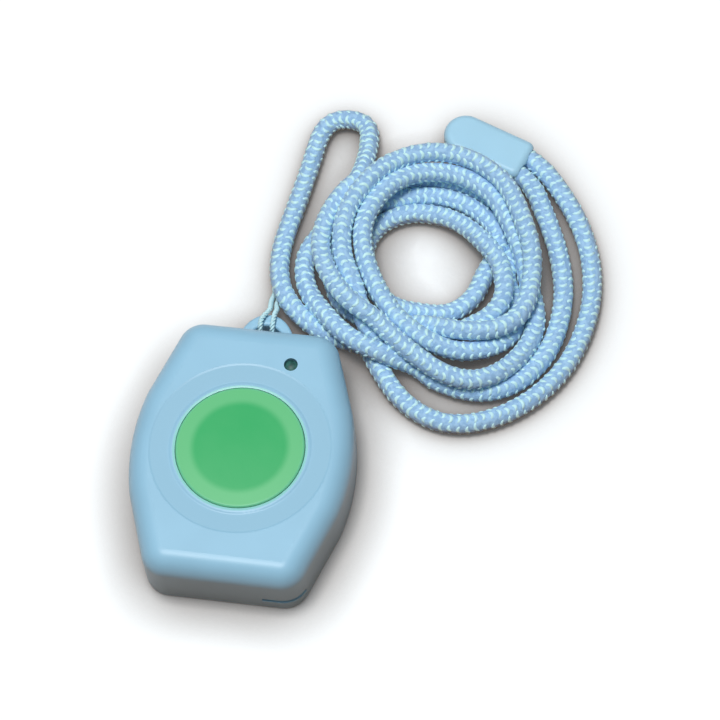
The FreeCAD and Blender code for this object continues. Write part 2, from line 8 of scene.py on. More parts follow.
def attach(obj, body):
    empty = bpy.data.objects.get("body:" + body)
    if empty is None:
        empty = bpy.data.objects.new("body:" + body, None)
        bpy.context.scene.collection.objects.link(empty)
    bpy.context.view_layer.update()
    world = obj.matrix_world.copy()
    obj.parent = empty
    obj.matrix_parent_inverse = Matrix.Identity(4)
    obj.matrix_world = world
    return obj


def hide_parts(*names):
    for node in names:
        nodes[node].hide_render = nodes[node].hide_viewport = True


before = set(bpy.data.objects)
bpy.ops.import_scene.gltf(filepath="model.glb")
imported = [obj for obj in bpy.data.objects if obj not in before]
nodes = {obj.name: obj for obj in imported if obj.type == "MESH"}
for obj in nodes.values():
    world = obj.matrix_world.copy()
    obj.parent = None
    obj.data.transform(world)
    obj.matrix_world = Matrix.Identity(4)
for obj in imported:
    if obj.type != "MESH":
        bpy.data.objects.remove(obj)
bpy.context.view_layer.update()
print("frame loaded:", len(nodes), "nodes")

mm = 0.001


# one output of a node; arithmetic on it adds Math nodes
class Wire:
    def __init__(self, graph, socket):
        self.graph = graph
        self.socket = socket

    def out(self, name):
        return Wire(self.graph, self.socket.node.outputs[name])

    def __add__(self, other):
        return self.graph.math("ADD", self, other)

    def __sub__(self, other):
        return self.graph.math("SUBTRACT", self, other)

    def __rsub__(self, other):
        return self.graph.math("SUBTRACT", other, self)

    def __mul__(self, other):
        return self.graph.math("MULTIPLY", self, other)

    def __truediv__(self, other):
        return self.graph.math("DIVIDE", self, other)

    __radd__ = __add__
    __rmul__ = __mul__


# a node tree: node() takes a type, its settings, then values or links for its sockets
class Graph:
    def __init__(self, tree):
        self.tree = tree

    def node(self, kind, settings=None, inputs=None, output=0):
        made = self.tree.nodes.new(kind)
        for key, value in (settings or {}).items():
            setattr(made, key, value)
        for key, value in (inputs or {}).items():
            if isinstance(value, Wire):
                self.tree.links.new(value.socket, made.inputs[key])
            else:
                made.inputs[key].default_value = value
        return Wire(self, made.outputs[output] if made.outputs else None)

    def math(self, operation, first, second=0.0):
        return self.node("ShaderNodeMath", {"operation": operation}, {0: first, 1: second})

    def fade(self, value, low, high, start=0.0, end=1.0):
        settings = {"interpolation_type": "SMOOTHSTEP"}
        given = {"Value": value, "From Min": low, "From Max": high, "To Min": start, "To Max": end}
        return self.node("ShaderNodeMapRange", settings, given)

    def blendColour(self, factor, first, second):
        settings = {"data_type": "RGBA"}
        return self.node("ShaderNodeMix", settings, {0: factor, 6: first, 7: second}, 2)

    def noise(self, place, size, detail=2.0, roughness=0.5):
        given = {"Vector": place, "Scale": 1 / size, "Detail": detail, "Roughness": roughness}
        return self.node("ShaderNodeTexNoise", {}, given)

    def bump(self, height, depth):
        return self.node("ShaderNodeBump", {}, {"Height": height, "Distance": depth})


def shade(colour, amount):
    return tuple(min(1.0, part * amount) for part in colour[:3]) + (1.0,)


def newMaterial(name):
    material = bpy.data.materials.new(name)
    material.use_nodes = True
    material.node_tree.nodes.clear()
    graph = Graph(material.node_tree)
    place = graph.node("ShaderNodeTexCoord").out("Object")
    return material, graph, place


def closeMaterial(graph, sockets):
    surface = graph.node("ShaderNodeBsdfPrincipled", {}, sockets)
    graph.node("ShaderNodeOutputMaterial", {}, {"Surface": surface})


def dress(material, *names):
    for name in names:
        slots = nodes[name].material_slots
        for slot in slots:
            slot.material = material
        if not slots:
            nodes[name].data.materials.append(material)


# distance from the button's axis, which is the frame's Z
def axisReach(graph, place):
    axes = graph.node("ShaderNodeSeparateXYZ", {}, {"Vector": place})
    return graph.math("SQRT", axes.out("X") * axes.out("X") + axes.out("Y") * axes.out("Y"))


# moulded plastic: fine spark-eroded grain, faint clouding and a little unevenness in its gloss
plainLook = {
    "colour": (0.34, 0.60, 0.78), "roughness": 0.36, "shine": 0.35,
    "grain": 0.16 * mm, "grainDepth": 0.004 * mm, "grainPale": 1.12, "grainShare": 0.12, "grainGloss": 0.12,
    "cloud": 14 * mm, "cloudDark": 0.975, "cloudPale": 1.02, "cloudGloss": 0.08,
}
# a ring about the button's axis is its inner and outer radius, the width of its soft edges and its colour:
# the dish's darker tint is painted shade of its curve, the lip's green is painted light reflected from the
# button
caseLook = dict(plainLook, rings=[
    (14.9 * mm, 20.0 * mm, 1.0 * mm, (0.316, 0.563, 0.728, 1)),
    (13.0 * mm, 14.7 * mm, 0.4 * mm, (0.31, 0.69, 0.66, 1)),
])
joinerLook = dict(plainLook, colour=(0.42, 0.69, 0.86), grain=0.3 * mm)
innerLook = dict(plainLook, colour=(0.74, 0.76, 0.77), roughness=0.5)
darkLook = dict(plainLook, colour=(0.03, 0.03, 0.034), roughness=0.5)


def mouldedPlastic(name, look):
    material, graph, place = newMaterial(name)
    cloud = graph.noise(place, look["cloud"], 3.0)
    grain = graph.noise(place, look["grain"], 2.0, 0.6)
    dark = shade(look["colour"], look["cloudDark"])
    pale = shade(look["colour"], look["cloudPale"])
    colour = graph.blendColour(graph.fade(cloud, 0.3, 0.7), dark, pale)
    crests = graph.fade(grain, 0.35, 0.75) * look["grainShare"]
    colour = graph.blendColour(crests, colour, shade(look["colour"], look["grainPale"]))
    # the rings paint shade on the dish, and green reflected light that lifts the gap's shadow on the lip
    for start, stop, soft, tint in look.get("rings", ()):
        reach = axisReach(graph, place)
        paintedLightBand = graph.fade(reach, start, start + soft) * graph.fade(reach, stop - soft, stop, 1.0, 0.0)
        colour = graph.blendColour(paintedLightBand, colour, tint)
    closeMaterial(graph, {
        "Base Color": colour,
        "Roughness": (look["roughness"] + (grain - 0.5) * look["grainGloss"]
                      + (cloud - 0.5) * look["cloudGloss"]),
        "Normal": graph.bump(grain, look["grainDepth"]),
        "Specular IOR Level": look["shine"],
    })
    return material


dress(mouldedPlastic("casePlastic", caseLook), "front_shell", "rear_shell")
dress(mouldedPlastic("joinerPlastic", joinerLook), "cord_joiner")
dress(mouldedPlastic("innerPlastic", innerLook), "membrane_ring")
dress(mouldedPlastic("darkPlastic", darkLook), "switch_body", "switch_key", "control_chip")


# button: paler in the ring where its skin is thin, round the solid middle; its paler edge is painted light
# that softens the shadow in the gap round it
buttonLook = {
    "middle": (0.035, 0.46, 0.14, 1), "rim": (0.145, 0.58, 0.24, 1), "edge": (0.19, 0.64, 0.37, 1),
    "middleEnd": 9.3 * mm, "rimStart": 11.3 * mm, "edgeStart": 13.2 * mm, "edgeEnd": 13.8 * mm,
    "roughness": 0.36, "shine": 0.3, "grain": 0.17 * mm, "grainDepth": 0.004 * mm, "grainGloss": 0.12,
    "cloud": 9 * mm, "cloudShare": 0.10, "cloudGloss": 0.06,
}


def buttonPlastic(look):
    material, graph, place = newMaterial("buttonPlastic")
    reach = axisReach(graph, place)
    cloud = graph.noise(place, look["cloud"], 3.0)
    grain = graph.noise(place, look["grain"], 2.0, 0.6)
    thin = graph.fade(reach, look["middleEnd"], look["rimStart"])
    # painted light at the button's edge, lifting the shadow in the gap round it
    edge = graph.fade(reach, look["edgeStart"], look["edgeEnd"])
    colour = graph.blendColour(thin, look["middle"], look["rim"])
    colour = graph.blendColour(edge, colour, look["edge"])
    colour = graph.blendColour(graph.fade(cloud, 0.3, 0.7) * look["cloudShare"], colour, look["rim"])
    closeMaterial(graph, {
        "Base Color": colour,
        "Roughness": (look["roughness"] + (grain - 0.5) * look["grainGloss"]
                      + (cloud - 0.5) * look["cloudGloss"]),
        "Normal": graph.bump(grain, look["grainDepth"]),
        "Specular IOR Level": look["shine"],
    })
    return material


dress(buttonPlastic(buttonLook), "button_cap")


# rubber of the seals, with a pale bloom
rubberLook = {
    "colour": (0.12, 0.12, 0.13), "dark": 0.8, "pale": 1.5, "bloom": 5 * mm,
    "grain": 0.15 * mm, "grainDepth": 0.02 * mm, "grainGloss": 0.2, "roughness": 0.72,
}


def sealRubber(look):
    material, graph, place = newMaterial("sealRubber")
    bloom = graph.fade(graph.noise(place, look["bloom"], 4.0), 0.35, 0.75)
    grain = graph.noise(place, look["grain"])
    dark = shade(look["colour"], look["dark"])
    pale = shade(look["colour"], look["pale"])
    closeMaterial(graph, {
        "Base Color": graph.blendColour(bloom, dark, pale),
        "Roughness": look["roughness"] + (grain - 0.5) * look["grainGloss"],
        "Normal": graph.bump(grain, look["grainDepth"]),
    })
    return material


dress(sealRubber(rubberLook), "sealing_membrane", "case_gasket")


# sheet metal and wire: rolling marks along X and a slight tarnish
steelLook = {
    "colour": (0.62, 0.62, 0.61, 1), "stained": (0.42, 0.4, 0.37, 1), "tarnish": 0.5, "stain": 3.5 * mm,
    "roughness": 0.34, "lineGloss": 0.25,
    "lineWidth": 0.12 * mm, "lineStretch": 0.06, "lineDepth": 0.01 * mm,
}
tinLook = dict(steelLook, colour=(0.7, 0.7, 0.69, 1), roughness=0.42)
goldLook = dict(steelLook, colour=(0.83, 0.62, 0.27, 1), stained=(0.62, 0.42, 0.16, 1), roughness=0.3)


def metal(name, look):
    material, graph, place = newMaterial(name)
    stretched = {"Vector": place, "Scale": (look["lineStretch"], 1.0, 1.0)}
    marks = graph.noise(graph.node("ShaderNodeMapping", {}, stretched), look["lineWidth"], 2.0)
    stain = graph.fade(graph.noise(place, look["stain"], 4.0, 0.6), 0.45, 0.8)
    closeMaterial(graph, {
        "Base Color": graph.blendColour(stain * look["tarnish"], look["colour"], look["stained"]),
        "Metallic": 1.0,
        "Roughness": look["roughness"] + (marks - 0.5) * look["lineGloss"],
        "Normal": graph.bump(marks, look["lineDepth"]),
    })
    return material


dress(metal("steelSheet", steelLook), "board_screws", "switch_cover", "switch_dome", "battery_clip",
      "battery_cell", "radio_module", "crystal")
dress(metal("tinnedWire", tinLook), "led_leads", "switch_tabs")
dress(metal("goldPlate", goldLook), "battery_pad", "antenna_wire")


# green lacquer over copper tracks, which run along X or along Y by patches
boardLook = {
    "lacquer": (0.022, 0.17, 0.075, 1), "track": (0.07, 0.33, 0.13, 1), "trackShare": 0.55,
    "trackPitch": 0.55 * mm, "trackStart": 0.55, "trackEnd": 0.7, "trackDepth": 0.03 * mm, "patch": 6 * mm,
    "roughness": 0.32, "cloud": 1.2 * mm, "cloudGloss": 0.1,
}


def boardLacquer(look):
    material, graph, place = newMaterial("boardLacquer")
    axes = graph.node("ShaderNodeSeparateXYZ", {}, {"Vector": place})
    pitch = look["trackPitch"]
    start = pitch * look["trackStart"]
    stop = pitch * look["trackEnd"]
    lanes = [graph.math("PINGPONG", axes.out(axis), pitch) for axis in "XY"]
    first, second = [graph.fade(lane, start, stop) for lane in lanes]
    patch = graph.node("ShaderNodeTexVoronoi", {"distance": "CHEBYCHEV"},
                       {"Vector": place, "Scale": 1 / look["patch"]})
    which = graph.math("GREATER_THAN", patch.out("Color"), 0.5)
    track = first * which + second * (1 - which)
    closeMaterial(graph, {
        "Base Color": graph.blendColour(track * look["trackShare"], look["lacquer"], look["track"]),
        "Roughness": look["roughness"] + graph.noise(place, look["cloud"]) * look["cloudGloss"],
        "Normal": graph.bump(track, look["trackDepth"]),
    })
    return material


dress(boardLacquer(boardLook), "circuit_board")


lensLook = {
    "deep": (0.012, 0.06, 0.052, 1), "pale": (0.04, 0.15, 0.13, 1),
    "roughness": 0.42, "shine": 0.4, "cloud": 1.1 * mm, "cloudGloss": 0.12,
}


def lensPlastic(look):
    material, graph, place = newMaterial("lensPlastic")
    cloud = graph.noise(place, look["cloud"], 3.0)
    closeMaterial(graph, {
        "Base Color": graph.blendColour(graph.fade(cloud, 0.3, 0.7), look["deep"], look["pale"]),
        "Roughness": look["roughness"] + cloud * look["cloudGloss"],
        "Specular IOR Level": look["shine"],
    })
    return material


dress(lensPlastic(lensLook), "status_led")


chipLook = {
    "colour": (0.42, 0.33, 0.25, 1), "pale": 1.3,
    "speck": 0.2 * mm, "speckDepth": 0.02 * mm, "speckGloss": 0.1, "roughness": 0.55,
}


def ceramicChip(look):
    material, graph, place = newMaterial("ceramicChip")
    speck = graph.noise(place, look["speck"], 4.0)
    pale = shade(look["colour"], look["pale"])
    closeMaterial(graph, {
        "Base Color": graph.blendColour(graph.fade(speck, 0.4, 0.7), look["colour"], pale),
        "Roughness": look["roughness"] + speck * look["speckGloss"],
        "Normal": graph.bump(speck, look["speckDepth"]),
    })
    return material


dress(ceramicChip(chipLook), "small_parts")
print("materials on the frame's nodes")


# camera: azimuth and elevation of the view, turned about its own axis by roll
cameraSetup = {
    "azimuth": 14.296, "elevation": 64.987, "roll": -6.923, "distance": 699.3 * mm,
    "lens": 160.0, "sensor": 36.0, "target": Vector((21.555, 27.358, 7.0)) * mm,
}


def viewAxes(setup):
    azimuth = math.radians(setup["azimuth"])
    elevation = math.radians(setup["elevation"])
    roll = math.radians(setup["roll"])
    back = Vector((math.sin(azimuth) * math.cos(elevation), -math.cos(azimuth) * math.cos(elevation),
                   math.sin(elevation)))
    level = Vector((math.cos(azimuth), math.sin(azimuth), 0))
    upright = back.cross(level)
    right = level * math.cos(roll) + upright * math.sin(roll)
    up = upright * math.cos(roll) - level * math.sin(roll)
    return right, up, back


# returns the direction from the object to the camera
def addCamera(setup):
    right, up, back = viewAxes(setup)
    data = bpy.data.cameras.new("camera")
    data.lens = setup["lens"]
    data.sensor_width = setup["sensor"]
    data.clip_start = 0.01
    data.clip_end = 20.0
    camera = bpy.data.objects.new("camera", data)
    turn = Matrix((right, up, back)).transposed()
    camera.matrix_world = Matrix.Translation(setup["target"] + back * setup["distance"]) @ turn.to_4x4()
    bpy.context.scene.collection.objects.link(camera)
    bpy.context.scene.camera = camera
    return back


viewLine = addCamera(cameraSetup)
print("camera set")


# cord's route: points in mm from the joiner round the outside to the coil, and from the coil to the joiner
cordRoute = {
    "diameter": 4.2 * mm,
    "outer": [
        (48.9, 84.8, 3.0), (54.4, 82.4, 3.0), (60.4, 75.9, 2.3), (66.2, 67.1, 2.15), (70.0, 55.6, 2.15),
        (69.9, 43.4, 2.15), (65.2, 30.2, 2.15), (55.2, 20.0, 2.15), (42.5, 15.5, 2.15), (31.6, 20.0, 2.15),
        (24.4, 29.4, 2.15), (22.5, 32.8, 2.15), (17.6, 33.9, 2.15), (12.0, 34.9, 2.2), (4.6, 39.3, 3.7),
        (0.6, 45.4, 3.7), (-0.6, 53.7, 2.2), (1.1, 64.0, 2.15), (3.0, 74.8, 2.15), (4.5, 88.9, 2.15),
        (15.0, 89.3, 2.3), (16.1, 79.7, 4.4),
    ],
    "inner": [
        (47.6, 24.2, 2.15), (56.0, 27.4, 2.15), (62.3, 35.9, 2.15), (64.3, 48.4, 2.15), (61.9, 60.0, 2.15),
        (57.0, 70.4, 2.3), (52.9, 78.2, 3.0), (47.2, 80.5, 3.0),
    ],
    "sketchStep": 1.5,
    "joinSteps": 6,  # steps beside the coil's ends that don't push it
}
# coil's turns between them: pairs of reach from the coil's middle and height, in mm
coilRoute = {
    "middle": (32.9, 53.5),
    "firstAngle": 135,
    "spacing": 30,
    "start": (25.0, 7.6),
    # each turn from 150 degrees, one pair every 30 degrees
    "turns": [
        [(24.8, 7.5), (23.8, 7.5), (20.2, 6.5), (18.2, 5.2), (23.0, 5.0), (31.0, 4.6),
         (28.9, 2.0), (22.0, 2.0), (20.6, 5.0), (22.2, 5.8), (22.4, 6.0), (20.8, 7.5)],
        [(17.5, 7.5), (14.2, 7.5), (12.9, 7.0), (14.0, 6.2), (17.6, 5.6), (22.9, 3.6),
         (24.6, 2.0), (17.6, 2.0), (22.0, 2.0), (22.4, 2.0), (22.6, 2.0), (22.0, 2.7)],
        [(20.4, 3.5), (20.8, 3.0), (21.2, 2.4), (18.5, 2.3), (15.0, 3.6), (18.4, 5.1),
         (24.1, 6.0), (23.1, 6.0), (22.6, 8.2), (25.3, 8.0), (26.4, 8.0), (24.8, 7.8)],
        [(22.0, 7.5), (19.1, 7.5), (17.6, 6.4), (20.4, 2.2), (19.4, 2.0), (17.0, 2.1),
         (19.6, 6.0), (16.6, 6.0), (13.5, 4.5), (13.0, 3.1), (13.7, 2.0), (15.1, 2.0)],
        [(15.5, 2.0), (14.4, 2.0), (13.0, 2.0), (12.0, 2.0), (11.4, 2.0), (12.2, 2.0),
         (12.5, 2.0), (13.1, 2.0), (17.7, 2.0), (18.1, 2.0), (18.4, 2.0), (19.5, 2.0)],
        [(22.4, 2.0), (27.4, 2.0), (26.8, 2.0), (24.8, 4.4), (23.8, 2.4)],
    ],
    "end": (28.8, 2.0),
    "step": 2.2,
    "floor": 2.2,
    "gap": 4.2,
    "ownStretch": 9,  # strands this close along the cord don't push each other
    # rounds of settling, and the shares by which each one parts, smooths and draws back the strands
    "rounds": 260, "push": 1.6, "smoothing": 0.5,
    "hold": 0.10, "lateHold": 0.04, "lateFrom": 0.7, "sightHold": 0.01,
}


# smooth value through the rows at any angle between them
def coilValue(angles, rows, angle):
    place = min(max(int(np.searchsorted(angles, angle)) - 1, 0), len(rows) - 2)
    share = (angle - angles[place]) / (angles[place + 1] - angles[place])
    before = rows[max(place - 1, 0)]
    after = rows[min(place + 2, len(rows) - 1)]
    here, there = rows[place], rows[place + 1]
    swing = (there - before) / 2
    lean = (after - here) / 2
    square, cube = share ** 2, share ** 3
    return ((2 * cube - 3 * square + 1) * here + (cube - 2 * square + share) * swing
            + (3 * square - 2 * cube) * there + (cube - square) * lean)


def coilPoints(route):
    rows = [row for turn in route["turns"] for row in turn]
    half = route["spacing"] / 2
    angles = [route["firstAngle"] + half + route["spacing"] * i for i in range(len(rows))]
    rows = np.array([route["start"]] + rows + [route["end"]])
    angles = [route["firstAngle"]] + angles + [angles[-1] + half]
    middleX, middleY = route["middle"]
    angle = angles[0]
    points = []
    while angle < angles[-1]:
        reach, height = coilValue(angles, rows, angle)
        way = math.radians(angle)
        points.append((middleX + reach * math.cos(way), middleY + reach * math.sin(way), height))
        angle += math.degrees(route["step"] / reach)
    return np.array(points)


def nurbsCurve(name, points):
    data = bpy.data.curves.new(name, "CURVE")
    data.dimensions = "3D"
    spline = data.splines.new("NURBS")
    spline.points.add(len(points) - 1)
    for slot, point in zip(spline.points, points):
        slot.co = (*point, 1.0)
    spline.order_u = 3
    spline.use_endpoint_u = True
    spline.resolution_u = 4
    curve = bpy.data.objects.new(name, data)
    bpy.context.scene.collection.objects.link(curve)
    return curve


def linePoints(curve):
    mesh = bpy.data.meshes.new_from_object(curve)
    points = np.array([vertex.co[:] for vertex in mesh.vertices])
    bpy.data.meshes.remove(mesh)
    return points


def runLength(points):
    return np.concatenate([[0], np.cumsum(np.linalg.norm(np.diff(points, axis=0), axis=1))])


def resampled(points, step):
    run = runLength(points)
    count = max(2, int(round(run[-1] / step)) + 1)
    places = np.linspace(0, run[-1], count)
    return np.stack([np.interp(places, run, points[:, axis]) for axis in range(3)], axis=1)


# strands that would run into each other part, mostly along the line of sight, then settle again
def settleCoil(route, target, others, sight):
    sight = np.array(sight)
    shift = np.zeros_like(target)
    near = int(route["ownStretch"] / route["step"])
    index = np.arange(len(target))
    apart = np.abs(index[:, None] - index[None, :]) > near
    gap = route["gap"]
    for lap in range(route["rounds"]):
        here = target + shift
        push = np.zeros_like(here)
        count = np.full(len(here), 1e-9)
        middles = (here[1:] + here[:-1]) / 2
        bodies = [(here, apart, 0.5), (middles, apart[:, 1:] & apart[:, :-1], 0.5), (others, None, 1.0)]
        for body, allowed, share in bodies:
            away = here[:, None, :] - body[None, :, :]
            distance = np.linalg.norm(away, axis=2) + 1e-9
            close = distance < gap
            if allowed is not None:
                close &= allowed
            strength = np.where(close, (gap - distance) / distance * share, 0.0)
            push += (away * strength[:, :, None]).sum(axis=1)
            count += close.sum(axis=1)
        shift += push / np.maximum(count, 1.0)[:, None] * route["push"]
        along = (shift @ sight)[:, None] * sight[None, :]
        across = shift - along
        late = lap >= route["rounds"] * route["lateFrom"]
        hold = route["lateHold"] if late else route["hold"]
        shift -= across * hold + along * route["sightHold"]
        smooth = shift.copy()
        smooth[1:-1] = (shift[:-2] + shift[2:]) / 2
        shift += (smooth - shift) * route["smoothing"]
        shift[0] = 0
        shift[-1] = 0
        low = route["floor"] - (target + shift)[:, 2]
        shift[:, 2] += np.maximum(low, 0)
    return target + shift


# least distance between points that are more than skip places apart along the line
def nearestStrands(points, skip):
    worst = math.inf
    for i, point in enumerate(points):
        distance = np.linalg.norm(points - point, axis=1)
        distance[max(0, i - skip):i + skip + 1] = math.inf
        worst = min(worst, distance.min())
    return worst


outer = np.array(cordRoute["outer"])
inner = np.array(cordRoute["inner"])
draft = coilPoints(coilRoute)
sketch = nurbsCurve("sketch", np.concatenate([outer, draft, inner]))
line = resampled(linePoints(sketch), cordRoute["sketchStep"])
bpy.data.objects.remove(sketch)
first, last = [int(np.argmin(np.linalg.norm(line - end, axis=1))) for end in (draft[0], draft[-1])]
free = np.concatenate([line[:first - cordRoute["joinSteps"]], line[last + cordRoute["joinSteps"]:]])
coil = settleCoil(coilRoute, draft, free, viewLine)
print("coil settled, moved up to %.2f mm" % np.linalg.norm(coil - draft, axis=1).max())
cordPoints = np.concatenate([outer, coil, inner]) * mm
cordLine = nurbsCurve("cordLine", cordPoints)
cordPath = linePoints(cordLine)
nearest = nearestStrands(resampled(cordPath, 1.0 * mm), coilRoute["ownStretch"]) / mm


def pathObject(name, points):
    mesh = bpy.data.meshes.new(name)
    mesh.from_pydata([tuple(p) for p in points], [(i, i + 1) for i in range(len(points) - 1)], [])
    made = bpy.data.objects.new(name, mesh)
    bpy.context.scene.collection.objects.link(made)
    return made


def newTree(name, sizes):
    tree = bpy.data.node_groups.new(name, "GeometryNodeTree")
    tree.interface.new_socket("Geometry", in_out="INPUT", socket_type="NodeSocketGeometry")
    tree.interface.new_socket("Geometry", in_out="OUTPUT", socket_type="NodeSocketGeometry")
    for key, value in sizes.items():
        kind = "NodeSocketFloat"
        if isinstance(value, int):
            kind = "NodeSocketInt"
        if isinstance(value, bpy.types.Object):
            kind = "NodeSocketObject"
        tree.interface.new_socket(key, in_out="INPUT", socket_type=kind)
    graph = Graph(tree)
    return tree, graph, graph.node("NodeGroupInput")


# runs the tree on the object, keeps the result as a plain mesh and drops the modifier
def bake(made, tree, sizes):
    modifier = made.modifiers.new(tree.name, "NODES")
    modifier.node_group = tree
    for item in tree.interface.items_tree:
        if item.in_out == "INPUT" and item.name in sizes:
            modifier[item.identifier] = sizes[item.name]
    depsgraph = bpy.context.evaluated_depsgraph_get()
    mesh = bpy.data.meshes.new_from_object(made.evaluated_get(depsgraph), depsgraph=depsgraph)
    made.modifiers.remove(modifier)
    made.data = mesh
    return made


def smoothFaces(made):
    for face in made.data.polygons:
        face.use_smooth = True


# one stroke of pale yarn: a thin flattened wave across the cord, its ends sunk in the core
strokeLook = {
    "rings": 6, "reach": 0.62, "wave": 0.6 * mm, "curl": 1.3, "seat": 2.10 * mm, "sink": 0.12 * mm,
    "width": 1.0 * mm, "thickness": 0.36 * mm, "taper": 0.5, "crestFade": 0.7,
    "profile": [(-0.5, -0.5), (-0.26, 0.5), (0.26, 0.5), (0.5, -0.5)],
}


def strokeMesh(name, look):
    made = bmesh.new()
    crest = made.verts.layers.float.new("crest")
    side = Vector((0, 0, 1))
    rings = []
    for step in range(look["rings"]):
        share = step / (look["rings"] - 1) * 2 - 1
        around = share * look["reach"]
        along = look["wave"] * (abs(share) ** look["curl"] - 0.5)
        lift = look["seat"] - look["sink"] * share ** 4
        fullness = 1 - look["taper"] * share ** 4
        centre = Vector((math.cos(around) * lift, math.sin(around) * lift, along))
        outward = Vector((math.cos(around), math.sin(around), 0))
        ring = []
        for across, high in look["profile"]:
            stand = outward * high * look["thickness"]
            spread = side * across * look["width"]
            vertex = made.verts.new(centre + (stand + spread) * fullness)
            # crest falls towards the stroke's ends, so they take painted shade in the core's blue
            vertex[crest] = high * 2 * (1 - look["crestFade"] * share ** 4)
            ring.append(vertex)
        rings.append(ring)
    corners = len(look["profile"])
    for first, second in zip(rings, rings[1:]):
        for corner in range(corners):
            after = (corner + 1) % corners
            made.faces.new((first[corner], first[after], second[after], second[corner]))
    made.faces.new(rings[0][::-1])
    made.faces.new(rings[-1])
    bmesh.ops.recalc_face_normals(made, faces=made.faces)
    mesh = bpy.data.meshes.new(name)
    made.to_mesh(mesh)
    made.free()
    holder = bpy.data.objects.new(name, mesh)
    bpy.context.scene.collection.objects.link(holder)
    return holder


# knit: a plain core, and strokes in five rows along it, every second row turned the other way
cordKnit = {
    "coreRadius": 2.12 * mm, "coreSides": 16, "coreStep": 1.2 * mm, "pitch": 1.8 * mm, "wales": 5,
    "drift": 0.01, "wobble": 0.14, "lean": 0.12, "tilt": 0.25, "shortest": 0.75, "longest": 1.1,
    "dullest": 0.8, "rest": 0.03 * mm, "seed": 7,
}


def knitTree(sizes, core, yarn):
    tree, graph, given = newTree("knit", sizes)

    def chance(low, high, salt):
        bounds = {2: low, 3: high, "Seed": given.out("seed") + salt}
        return graph.node("FunctionNodeRandomValue", {"data_type": "FLOAT"}, bounds, 1)

    def turned(rotation, axis, angle):
        euler = graph.node("ShaderNodeCombineXYZ", {}, {axis: angle})
        step = graph.node("FunctionNodeEulerToRotation", {}, {0: euler})
        return graph.node("FunctionNodeRotateRotation", {"rotation_space": "LOCAL"},
                          {"Rotation": rotation, "Rotate By": step})

    line = graph.node("GeometryNodeMeshToCurve", {}, {"Mesh": given.out("Geometry")})
    coarse = graph.node("GeometryNodeResampleCurve", {"mode": "LENGTH"},
                        {"Curve": line, "Length": given.out("coreStep")})
    disc = graph.node("GeometryNodeCurvePrimitiveCircle", {},
                      {"Resolution": given.out("coreSides"), "Radius": given.out("coreRadius")})
    tube = graph.node("GeometryNodeCurveToMesh", {},
                      {"Curve": coarse, "Profile Curve": disc, "Fill Caps": True})
    tube = graph.node("GeometryNodeSetMaterial", {}, {"Geometry": tube, "Material": core})
    spots = graph.node("GeometryNodeCurveToPoints", {"mode": "LENGTH"},
                       {"Curve": line, "Length": given.out("pitch")})
    seats = graph.node("GeometryNodeDuplicateElements", {"domain": "POINT"},
                       {"Geometry": spots, "Amount": given.out("wales")})
    wale = seats.out("Duplicate Index")
    drift = graph.node("GeometryNodeInputIndex") * given.out("drift")
    around = wale / given.out("wales") * (2 * math.pi) + drift
    around = around + chance(given.out("wobble") * -1, given.out("wobble"), 0)
    flip = graph.math("MODULO", wale, 2) * math.pi
    lean = flip + given.out("lean") + chance(given.out("tilt") * -1, given.out("tilt"), 1)
    rotation = turned(turned(spots.out("Rotation"), "Z", around), "X", lean)
    reach = chance(given.out("shortest"), given.out("longest"), 2)
    size = graph.node("ShaderNodeCombineXYZ", {}, {"X": 1.0, "Y": reach, "Z": 1.0})
    stroke = graph.node("GeometryNodeObjectInfo", {}, {"Object": given.out("stroke")}).out("Geometry")
    strokes = graph.node("GeometryNodeInstanceOnPoints", {},
                         {"Points": seats, "Instance": stroke, "Rotation": rotation, "Scale": size})
    tone = chance(given.out("dullest"), 1.0, 3)
    strokes = graph.node("GeometryNodeStoreNamedAttribute", {"data_type": "FLOAT", "domain": "INSTANCE"},
                         {"Geometry": strokes, "Name": "tone", "Value": tone})
    strokes = graph.node("GeometryNodeRealizeInstances", {}, {"Geometry": strokes})
    strokes = graph.node("GeometryNodeSetMaterial", {}, {"Geometry": strokes, "Material": yarn})
    whole = graph.node("GeometryNodeJoinGeometry", {}, {"Geometry": tube})
    tree.links.new(strokes.socket, whole.socket.node.inputs["Geometry"])
    spot = graph.node("ShaderNodeSeparateXYZ", {}, {"Vector": graph.node("GeometryNodeInputPosition")})
    height = graph.math("MAXIMUM", spot.out("Z"), given.out("rest"))
    resting = graph.node("ShaderNodeCombineXYZ", {}, {"X": spot.out("X"), "Y": spot.out("Y"), "Z": height})
    whole = graph.node("GeometryNodeSetPosition", {}, {"Geometry": whole, "Position": resting})
    graph.node("NodeGroupOutput", {}, {"Geometry": whole})
    return tree


# cord's materials: a blue core seen between pale shiny strokes of yarn
cordLook = {
    "deep": (0.30, 0.51, 0.78, 1), "core": (0.40, 0.64, 0.90, 1), "yarnDeep": (0.45, 0.71, 0.96, 1),
    "yarn": (0.69, 1.0, 1.0, 1), "glint": (0.72, 0.96, 1.0, 1), "strokeStart": -0.3, "strokeEnd": 0.3,
    "loopSize": 1.1 * mm, "loopDepth": 0.25 * mm,
    "coreFibre": 0.2 * mm, "coreRoughness": 0.7, "coreSheen": 0.2,
    "yarnFibre": 0.14 * mm, "yarnDepth": 0.03 * mm, "yarnRoughness": 0.34, "yarnShine": 0.6,
    "yarnSheen": 0.15,
}


def cordCore(look):
    material, graph, place = newMaterial("cordCore")
    fibre = graph.noise(place, look["coreFibre"], 3.0, 0.6)
    loops = graph.noise(place, look["loopSize"], 1.0)
    colour = graph.blendColour(graph.fade(loops, 0.4, 0.6), look["deep"], look["core"])
    colour = graph.blendColour(graph.fade(fibre, 0.45, 0.75) * 0.4, colour, look["yarnDeep"])
    closeMaterial(graph, {
        "Base Color": colour,
        "Roughness": look["coreRoughness"] + (fibre - 0.5) * 0.1,
        "Normal": graph.bump(fibre * 0.3 + loops, look["loopDepth"]),
        "Sheen Weight": look["coreSheen"],
    })
    return material
